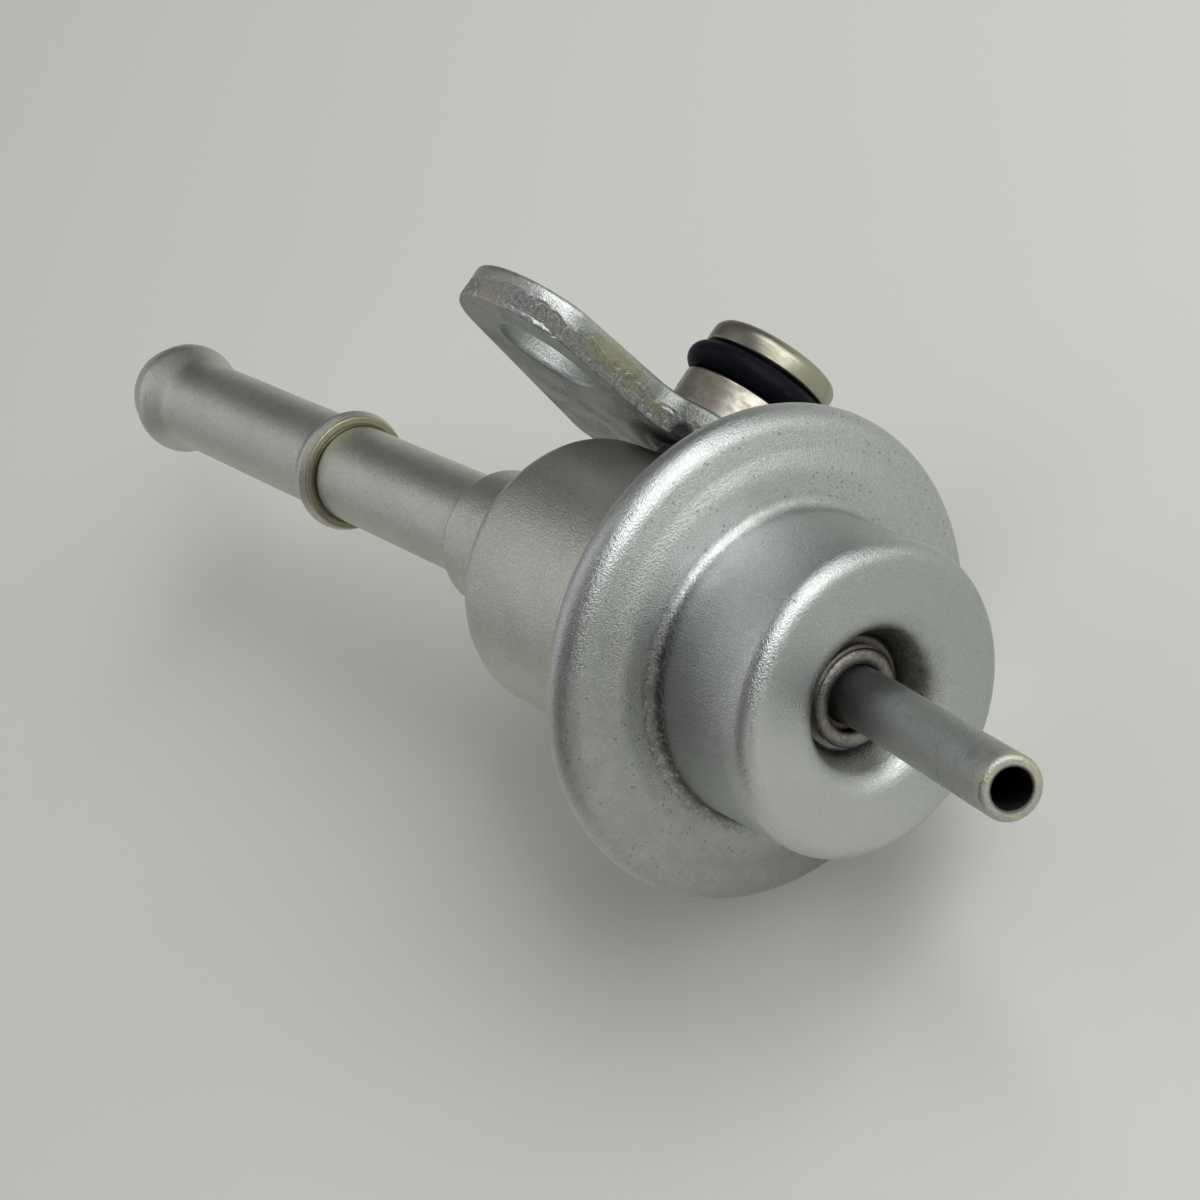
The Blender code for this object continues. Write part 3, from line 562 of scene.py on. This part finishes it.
def bare_steel():
    """Turned steel with fine rings, brown stains and pits, and painted shade on its root below the plate."""
    base = (0.42, 0.405, 0.345)
    finish = Finish("spigot_steel", 1.0, base)
    y = finish.coordinate("y")
    stains = finish.noise(1.8, 4.0, 0.65, low=0.45, high=0.62)
    rings = finish.noise(1.0, 2.0, 0.6, (0.15, 12.0, 0.15))
    finish.tint(finish.times(stains, 0.6), (0.22, 0.19, 0.145))
    finish.tint(finish.times(finish.specks(0.9, 0.16, 0.35), 0.85), (0.07, 0.06, 0.05))
    flange = finish.band(y, GROOVE_Y + GROOVE_WIDTH + 0.2, SPIGOT_END_Y, 0.2)
    finish.tint(finish.times(flange, 0.75), (0.23, 0.22, 0.185))
    gold = finish.times(finish.mapped(finish.coordinate("x"), 1.0, 5.0), flange)
    finish.tint(finish.times(gold, 0.45), (0.50, 0.51, 0.36))
    # Painted shade on the spigot's root below the plate.
    finish.tint(finish.mapped(y, PLATE_Y + 0.3, PLATE_Y + 0.6, 0.95, 0.0), (0.04, 0.037, 0.034))
    finish.rise(rings, 0.004)
    return finish.done(finish.mapped(stains, 0.0, 1.0, 0.35, 0.48))


def rubber():
    finish = Finish("o_ring_rubber", 0.0, (0.004, 0.005, 0.008))
    dust = finish.noise(0.5, 4.0, 0.7, low=0.5, high=0.75)
    finish.tint(finish.times(dust, 0.12), (0.08, 0.08, 0.10))
    finish.rise(finish.noise(0.12, 2.0), 0.002)
    finish.surface.inputs["Specular IOR Level"].default_value = 0.07
    return finish.done(finish.mapped(dust, 0.0, 1.0, 0.45, 0.6))


# Pieces


def make_cover():
    """The collar is moved a little off the cap's axis, to where the pipe stands."""
    collar = [(DIMPLE_X - WALL, COLLAR_BORE_R), (COLLAR_LIP_X - 0.25, COLLAR_BORE_R)]
    for step in range(17):
        angle = pi * step / 16
        collar.append((LIP_ROOT_X + LIP_HEIGHT * sin(angle), LIP_MIDDLE_R - LIP_HALF_WIDTH * cos(angle)))
    collar.append((DIMPLE_X, COLLAR_R + 0.11))
    corners = [
        (DIMPLE_X, COLLAR_R + 0.2), (DIMPLE_X, COLLAR_R + 0.6), (CAP_FACE_X, DIMPLE_R), (CAP_FACE_X, CAP_R),
        (CREASE_X, CAP_R), (CREASE_X + 0.05, LAND_R), (CREASE_X - 0.4, SLOPE_R),
        (RIM_REAR_X + 2 * RIM_ROUND, RIM_INNER_R),
    ]
    path = rounded(corners, [0.6, 1.9, 1.3, 0.85, 3.0, 2.0], 10)[:-1]
    path += arc(RIM_REAR_X + RIM_ROUND, RIM_R - RIM_ROUND, RIM_ROUND, 12, 180, 24)
    path.append((RIM_REAR_X, LAND_R))
    shape = lathe(collar + thickened(path, WALL), 224, longest=0.8)
    for vert in shape.verts:
        reach = Vector((vert.co.y, vert.co.z)).length
        if reach < COLLAR_R + 0.1:
            vert.co += COLLAR_SHIFT * min(1.0, max(0.0, (vert.co.x - DIMPLE_X) / 0.5))
    worn(shape, 9.0, 0.03)
    return piece("cover", shape, plated("cover_zinc", marks=cover_marks), ["spring_cover"])


def make_housing():
    flange_x = RIM_REAR_X + WALL + 0.1
    outer = rounded(
        [(NECK_END_X, NECK_BORE_R), (NECK_END_X, NECK_R), (CUP_END_X, NECK_R), (CUP_END_X, CUP_R),
         (flange_x, CUP_R), (flange_x, HOUSING_FLANGE_R)],
        [1.1, 0.6, 1.8, 1.1], 10)
    inside_x = flange_x + HOUSING_WALL
    inside_r = CUP_R - HOUSING_WALL
    floor_x = CUP_END_X + HOUSING_WALL
    inner = rounded(
        [(inside_x, HOUSING_FLANGE_R), (inside_x, inside_r), (floor_x, inside_r), (floor_x, NECK_BORE_R),
         (NECK_END_X, NECK_BORE_R)],
        [2.1, 0.8, 1.6])[:-1]
    shape = worn(lathe(outer + inner, longest=0.8), 8.0, 0.03)
    return piece("housing_shell", shape, plated("housing_zinc", WARM_ZINC), ["lower_housing"])


def make_return_pipe():
    outer = rounded(
        [(PIPE_OPEN_X, PIPE_BORE_R), (PIPE_OPEN_X, PIPE_R), (PIPE_OPEN_X + 3.1, BULGE_R),
         (PIPE_OPEN_X + 6.2, PIPE_R), (BEAD_X - 3.0, PIPE_R), (BEAD_X - 1.0, BULGE_R),
         (BEAD_X, BULGE_R - 0.4), (BEAD_X, PIPE_R), (PIPE_INNER_X, PIPE_R)],
        [1.2, 2.5, 4.0, 1.5, 0.6, 0.15, 0.2], 10)
    shape = worn(lathe(outer + [(PIPE_INNER_X, PIPE_BORE_R - 0.1)], 128, longest=1.0), 7.0, 0.03)
    material = plated("return_pipe_zinc", WARM_ZINC, marks=return_pipe_marks)
    return piece("return_pipe_tube", shape, material, ["return_pipe"])


def pipe_place(point):
    """Moves a point of the straight pipe, drawn along x from its bend, to its place on the bent one."""
    distance = point.x
    angle = min(max(distance / VACUUM_BEND_R, 0), VACUUM_LEAN)
    ahead = Vector((cos(angle), 0, 0)) + VACUUM_SIDE * sin(angle)
    upright = VACUUM_SIDE * cos(angle) - Vector((sin(angle), 0, 0))
    across = Vector((1, 0, 0)).cross(VACUUM_SIDE)
    inside = min(1.0, max(0.0, 1 + distance / VACUUM_INSERTED))
    centre = Vector((VACUUM_ROOT.x, VACUUM_ROOT.y * inside, VACUUM_ROOT.z * inside))
    centre += Vector((VACUUM_BEND_R * sin(angle), 0, 0))
    centre += VACUUM_SIDE * VACUUM_BEND_R * (1 - cos(angle)) + ahead * (distance - angle * VACUUM_BEND_R)
    return centre + upright * point.y + across * point.z


def make_vacuum_pipe():
    section = rounded(
        [(-VACUUM_INSERTED, VACUUM_BORE_R), (-VACUUM_INSERTED, VACUUM_R), (VACUUM_LENGTH, VACUUM_R),
         (VACUUM_LENGTH, VACUUM_BORE_R), (-VACUUM_INSERTED, VACUUM_BORE_R)], [0.1, 0.64, 0.1])[:-1]
    shape = lathe(section, 96, longest=0.4)
    for vert in shape.verts:
        vert.co = pipe_place(vert.co)
    worn(shape, 4.0, 0.015)
    material = plated("vacuum_pipe_zinc", (0.375, 0.390, 0.372), 0.38, 0.5, vacuum_pipe_marks)
    return piece("vacuum_pipe_tube", shape, material, ["vacuum_pipe"])


def make_spigot():
    groove_end = GROOVE_Y + GROOVE_WIDTH
    section = rounded(
        [(SPIGOT_INNER_Y, SPIGOT_BORE_R), (SPIGOT_INNER_Y, SPIGOT_NECK_R), (PLATE_Y, SPIGOT_NECK_R),
         (PLATE_Y, SPIGOT_R), (GROOVE_Y, SPIGOT_R), (GROOVE_Y, GROOVE_R), (groove_end, GROOVE_R),
         (groove_end, SPIGOT_R), (SPIGOT_END_Y, SPIGOT_R), (SPIGOT_END_Y, SPIGOT_BORE_R),
         (SPIGOT_INNER_Y, SPIGOT_BORE_R)],
        [0.1, 0.1, 0, 0.18, 0.15, 0.15, 0.18, 0.95, 0.3])[:-1]
    return piece("inlet_stub", lathe(section, 128, "Y"), bare_steel(), ["inlet_spigot"])


def make_o_ring():
    middle_r = GROOVE_R + 0.1 + O_RING_WIRE_R
    section = arc(GROOVE_Y + GROOVE_WIDTH / 2, middle_r, O_RING_WIRE_R, 0, 360, 28)[:-1]
    return piece("o_ring", lathe(section, 128, "Y"), rubber(), ["inlet_o_ring"])


def bracket_outline():
    """The plate's outline in x and z, with the ear first."""
    rear = Vector((SHOULDER[0] - EAR[0], SHOULDER[1] - EAR[1]))
    tangent = atan2(rear.y, rear.x) - acos(EAR_R / rear.length)
    tangent = tangent if tangent > 0 else tangent + 2 * pi
    start = acos((EAR_FRONT_X - EAR[0]) / EAR_R)
    corner_z = EAR[1] + EAR_R * sin(start)
    ease = radians(20)
    blend = [(EAR_FRONT_X, corner_z - 3.0), (EAR_FRONT_X, corner_z),
             (EAR[0] + EAR_R * cos(start + ease), EAR[1] + EAR_R * sin(start + ease))]
    outline = rounded(blend, [6.0], 12)[1:-1]
    outline += arc(EAR[0], EAR[1], EAR_R, degrees(start + ease), degrees(tangent), 80)
    outline += rounded([outline[-1], SHOULDER, FOOT, (0.0, -FOOT_R)], [2.2, 2.2])[1:-1]
    reach = FOOT_R + FRONT_FILLET_R
    fillet_x = EAR_FRONT_X + FRONT_FILLET_R
    top = asin(sqrt(reach ** 2 - fillet_x ** 2) / reach)
    outline += arc(0, 0, FOOT_R, -90, degrees(top), 60)
    outline += arc(fillet_x, reach * sin(top), FRONT_FILLET_R, 180 + degrees(top), 180, 10)[1:]
    return outline


def even(loop, step):
    """The closed loop again, with points at even steps."""
    ends = loop + loop[:1]
    lengths = [0.0]
    for one, two in zip(ends, ends[1:]):
        lengths.append(lengths[-1] + (Vector(two) - Vector(one)).length)
    count = int(lengths[-1] / step)
    result, at = [], 0
    for index in range(count):
        goal = lengths[-1] * index / count
        while lengths[at + 1] < goal:
            at += 1
        share = (goal - lengths[at]) / (lengths[at + 1] - lengths[at])
        result.append(Vector(ends[at]).lerp(Vector(ends[at + 1]), share))
    return result


def sheared_wall(shape, loop, outward, tear=0.0, roll=1.0):
    """Edge of a stamping: rolled at the outer face, smooth burnish, then torn to that depth.

    Each level is a share of the thickness and an inset. The first and last ring lie flat on a face.
    """
    levels = [(0.0, 0.40), (0.0, 0.12), (0.03, 0.05), (0.08, 0.0), (0.16, -0.02)]
    levels += [(0.16 + 0.04 * n, 0.0) for n in range(1, 11)]
    levels += [(0.60, 0.0), (0.70, 0.0), (0.80, 0.0), (0.90, 0.01), (0.94, 0.06), (0.975, 0.14)]
    levels += [(1.0, 0.28), (1.0, 0.55)]
    rings = []
    count = len(loop)
    for share, inset in levels:
        ring = []
        for index, point in enumerate(loop):
            along = (loop[(index + 1) % count] - loop[index - 1]).normalized()
            normal = Vector((along.y, -along.x)) * outward
            place = Vector((point.x, PLATE_Y + share * PLATE_THICKNESS, point.y))
            upper = 0.54 + 0.16 * noise.noise(place * 0.4)
            torn = max(0.0, min(1.0, (upper - share) / 0.06)) * min(1.0, share / 0.05)
            rough = tear * (noise.fractal(place * 2.4, 0.6, 2.1, 5) - 0.4) * torn
            moved = point + normal * (rough - inset * roll)
            ring.append(shape.verts.new((moved.x, place.y, moved.y)))
        rings.append(ring)
    for one, two in zip(rings, rings[1:]):
        for index in range(count):
            after = (index + 1) % count
            shape.faces.new((one[index], one[after], two[after], two[index]))
    return rings[0], rings[-1]


def ring_edges(ring):
    """The edges between a closed ring's points."""
    edges = []
    for one, two in zip(ring, ring[1:] + ring[:1]):
        shared = [edge for edge in one.link_edges if edge.other_vert(one) is two]
        edges.append(shared[0])
    return edges


def make_bracket():
    shape = bmesh.new()
    outline = even(bracket_outline(), 0.14)
    area = sum(a.x * b.y - b.x * a.y for a, b in zip(outline, outline[1:] + outline[:1]))
    walls = [sheared_wall(shape, outline, 1 if area > 0 else -1, tear=0.12)]
    for centre, radius, roll in ((EAR, BOLT_HOLE_R, 1.0), ((0, 0), SPIGOT_R + 0.03, 0.05)):
        hole = [Vector(point) for point in arc(*centre, radius, 0, 360, int(2 * pi * radius / 0.16))[:-1]]
        walls.append(sheared_wall(shape, hole, -1, roll=roll))
    for side in (0, 1):
        edges = [edge for wall in walls for edge in ring_edges(wall[side])]
        bmesh.ops.triangle_fill(shape, use_beauty=True, use_dissolve=False, edges=edges)
    material = plated("bracket_zinc", (0.44, 0.457, 0.442), 0.34, 0.46, bracket_marks)
    return piece("bracket_plate", shape, material, ["bracket"], smooth_angle=60)


def diaphragm_rubber():
    finish = Finish("diaphragm_rubber", 0.0, (0.020, 0.020, 0.022))
    weave = finish.noise(0.25, 2.0, 0.6, (1.0, 1.0, 2.5))
    finish.tint(finish.times(weave, 0.3), (0.05, 0.05, 0.05))
    finish.rise(weave, 0.01)
    return finish.done(finish.mapped(weave, 0.0, 1.0, 0.5, 0.7))


def make_diaphragm():
    """Two mouldings that meet at the fold's crest. The moving one has a skirt that keeps them closed."""
    top = DIAPHRAGM_X + DIAPHRAGM_THICKNESS
    under = FOLD_HEIGHT - DIAPHRAGM_THICKNESS
    wall = 0.12
    material = diaphragm_rubber()

    def above(angle):
        return top + FOLD_HEIGHT * sin(radians(angle)), FOLD_R - FOLD_HEIGHT * cos(radians(angle))

    def below(angle):
        return DIAPHRAGM_X + FOLD_HEIGHT * sin(radians(angle)), FOLD_R - under * cos(radians(angle))

    centre = [(top, DIAPHRAGM_BORE_R)] + [above(angle) for angle in range(0, 91, 9)]
    centre += [(DIAPHRAGM_X + 0.1, FOLD_R), (DIAPHRAGM_X + 0.1, FOLD_R - wall)]
    centre += [below(angle) for angle in range(72, -1, -9)] + [(DIAPHRAGM_X, DIAPHRAGM_BORE_R)]
    rim = [(top + FOLD_HEIGHT, FOLD_R + 0.02)] + [above(angle) for angle in range(99, 181, 9)]
    bead_x = top + CLAMPED_BEAD_HEIGHT
    rim += [(top, DIAPHRAGM_R - 1.2), (bead_x, DIAPHRAGM_R - 1.0), (bead_x, DIAPHRAGM_R - 0.2)]
    rim += [(top, DIAPHRAGM_R), (DIAPHRAGM_X, DIAPHRAGM_R)]
    rim += [below(angle) for angle in range(180, 98, -9)] + [(DIAPHRAGM_X + FOLD_HEIGHT, FOLD_R + 0.02)]
    piece("diaphragm_centre", lathe(centre, 96), material, ["diaphragm"], "valve_carrier")
    piece("diaphragm_rim", lathe(rim, 96), material, ["diaphragm"])


def make_main_spring():
    """A coil with half a flat turn at each end."""
    shape = bmesh.new()
    around, per_turn = 14, 48
    rings = []
    count = int(SPRING_TURNS * per_turn)
    for index in range(count + 1):
        turn = SPRING_TURNS * index / count
        risen = min(1.0, max(0.0, (turn - 0.4) / (SPRING_TURNS - 0.8)))
        x = SPRING_FOOT_X + SPRING_WIRE_R + (SPRING_TOP_X - SPRING_FOOT_X - 2 * SPRING_WIRE_R) * risen
        out = Vector((0, cos(2 * pi * turn), sin(2 * pi * turn)))
        ring = []
        for step in range(around):
            angle = 2 * pi * step / around
            place = Vector((x, 0, 0)) + out * (SPRING_R + SPRING_WIRE_R * cos(angle))
            ring.append(shape.verts.new(place + Vector((SPRING_WIRE_R * sin(angle), 0, 0))))
        rings.append(ring)
    for one, two in zip(rings, rings[1:]):
        for step in range(around):
            shape.faces.new((one[step - 1], one[step], two[step], two[step - 1]))
    shape.faces.new(rings[0])
    shape.faces.new(rings[-1])
    finish = Finish("main_spring_steel", 1.0, (0.40, 0.40, 0.41))
    wear = finish.noise(1.0, 3.0)
    finish.tint(finish.times(wear, 0.4), (0.26, 0.26, 0.27))
    finish.rise(finish.noise(0.15, 2.0), 0.003)
    material = finish.done(finish.mapped(wear, 0.0, 1.0, 0.28, 0.4))
    made = piece("main_coil", shape, material, ["main_spring"])
    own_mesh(made)


def tint_inner_pieces():
    """The pieces inside keep their CAD shape and get plain worked metal."""
    looks = {
        "valve_seat": ((0.60, 0.46, 0.22), 0.26), "valve_ball": ((0.62, 0.62, 0.62), 0.12),
        "valve_disc": ((0.58, 0.58, 0.57), 0.2), "valve_stem": ((0.52, 0.51, 0.49), 0.28),
        "ball_retainer": ((0.38, 0.38, 0.39), 0.3), "ball_spring": ((0.38, 0.38, 0.39), 0.28),
        "lower_diaphragm_plate": ((0.52, 0.53, 0.53), 0.36),
        "upper_diaphragm_plate": ((0.52, 0.53, 0.53), 0.36),
        "cover_spring_seat": ((0.52, 0.53, 0.53), 0.36),
        # The vacuum pipe's braze is dark: partly oxide, partly painted shade in the gap round the pipe.
        "vacuum_pipe_braze": ((0.13, 0.095, 0.075), 0.42), "return_pipe_braze": ((0.30, 0.20, 0.14), 0.40),
    }
    for node, (base, smooth) in looks.items():
        finish = Finish(node + "_metal", 1.0, base)
        wear = finish.noise(1.5, 3.0)
        finish.tint(finish.times(wear, 0.3), tuple(c * 0.8 for c in base))
        finish.rise(finish.noise(0.2, 2.0), 0.002)
        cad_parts[node].data.materials[0] = finish.done(finish.mapped(wear, 0, 1, smooth, smooth + 0.1))


# Stage, light and camera


def stage():
    low = cad_box[0][2]
    mesh = bpy.data.meshes.new("floor")
    half = 1.5
    mesh.from_pydata([(-half, -half, low), (half, -half, low), (half, half, low), (-half, half, low)], [],
                     [(0, 1, 2, 3)])
    floor = bpy.data.objects.new("floor", mesh)
    bpy.context.scene.collection.objects.link(floor)
    material = bpy.data.materials.new("floor_paper")
    material.use_nodes = True
    shader = material.node_tree.nodes["Principled BSDF"]
    shader.inputs["Base Color"].default_value = (0.800, 0.808, 0.758, 1)
    shader.inputs["Roughness"].default_value = 0.9
    mesh.materials.append(material)


def lamp(name, azimuth, elevation, power, distance=0.6, size=0.36, height=0.36):
    """A soft rectangular lamp that faces the part: angles in degrees, watts, and metres."""
    light = bpy.data.lights.new(name, "AREA")
    light.shape = "RECTANGLE"
    light.size = size
    light.size_y = height
    light.energy = power
    made = bpy.data.objects.new(name, light)
    bpy.context.scene.collection.objects.link(made)
    turn, lift = radians(azimuth), radians(elevation)
    direction = Vector((cos(turn) * cos(lift), sin(turn) * cos(lift), sin(lift)))
    made.location = PORT + direction * distance
    made.rotation_euler = direction.to_track_quat("Z", "Y").to_euler()


def lights():
    world = bpy.data.worlds.new("studio")
    bpy.context.scene.world = world
    world.use_nodes = True
    world.node_tree.nodes["Background"].inputs["Color"].default_value = (1.0, 1.0, 1.0, 1)
    world.node_tree.nodes["Background"].inputs["Strength"].default_value = 0.14
    lamp("window_low", 35, 14, 1.62, distance=0.9, size=0.54)
    lamp("window_right", 22, 38, 1.24)
    lamp("window_left", 67, 45, 1.20)
    lamp("side", 310, 17, 0.14, height=0.28)
    lamp("rear", 200, 36, 0.45, size=0.5, height=0.5)
    lamp("rear_low", 222, 13, 0.08, height=0.22)
    lamp("overhead", 180, 64, 0.20)


def camera():
    data = bpy.data.cameras.new("camera")
    data.lens = CAMERA_LENS
    data.sensor_width = SENSOR
    data.clip_start = 0.01
    made = bpy.data.objects.new("camera", data)
    turn = Matrix((CAMERA_RIGHT, CAMERA_UP, CAMERA_BACK)).transposed().to_4x4()
    made.matrix_world = Matrix.Translation(PORT + CAMERA_PLACE * MM) @ turn
    bpy.context.scene.collection.objects.link(made)
    bpy.context.scene.camera = made


make_cover()
make_housing()
make_return_pipe()
make_vacuum_pipe()
make_spigot()
make_o_ring()
make_bracket()
make_diaphragm()
make_main_spring()
tint_inner_pieces()
stage()
lights()
camera()
bpy.context.scene.view_settings.view_transform = "Standard"
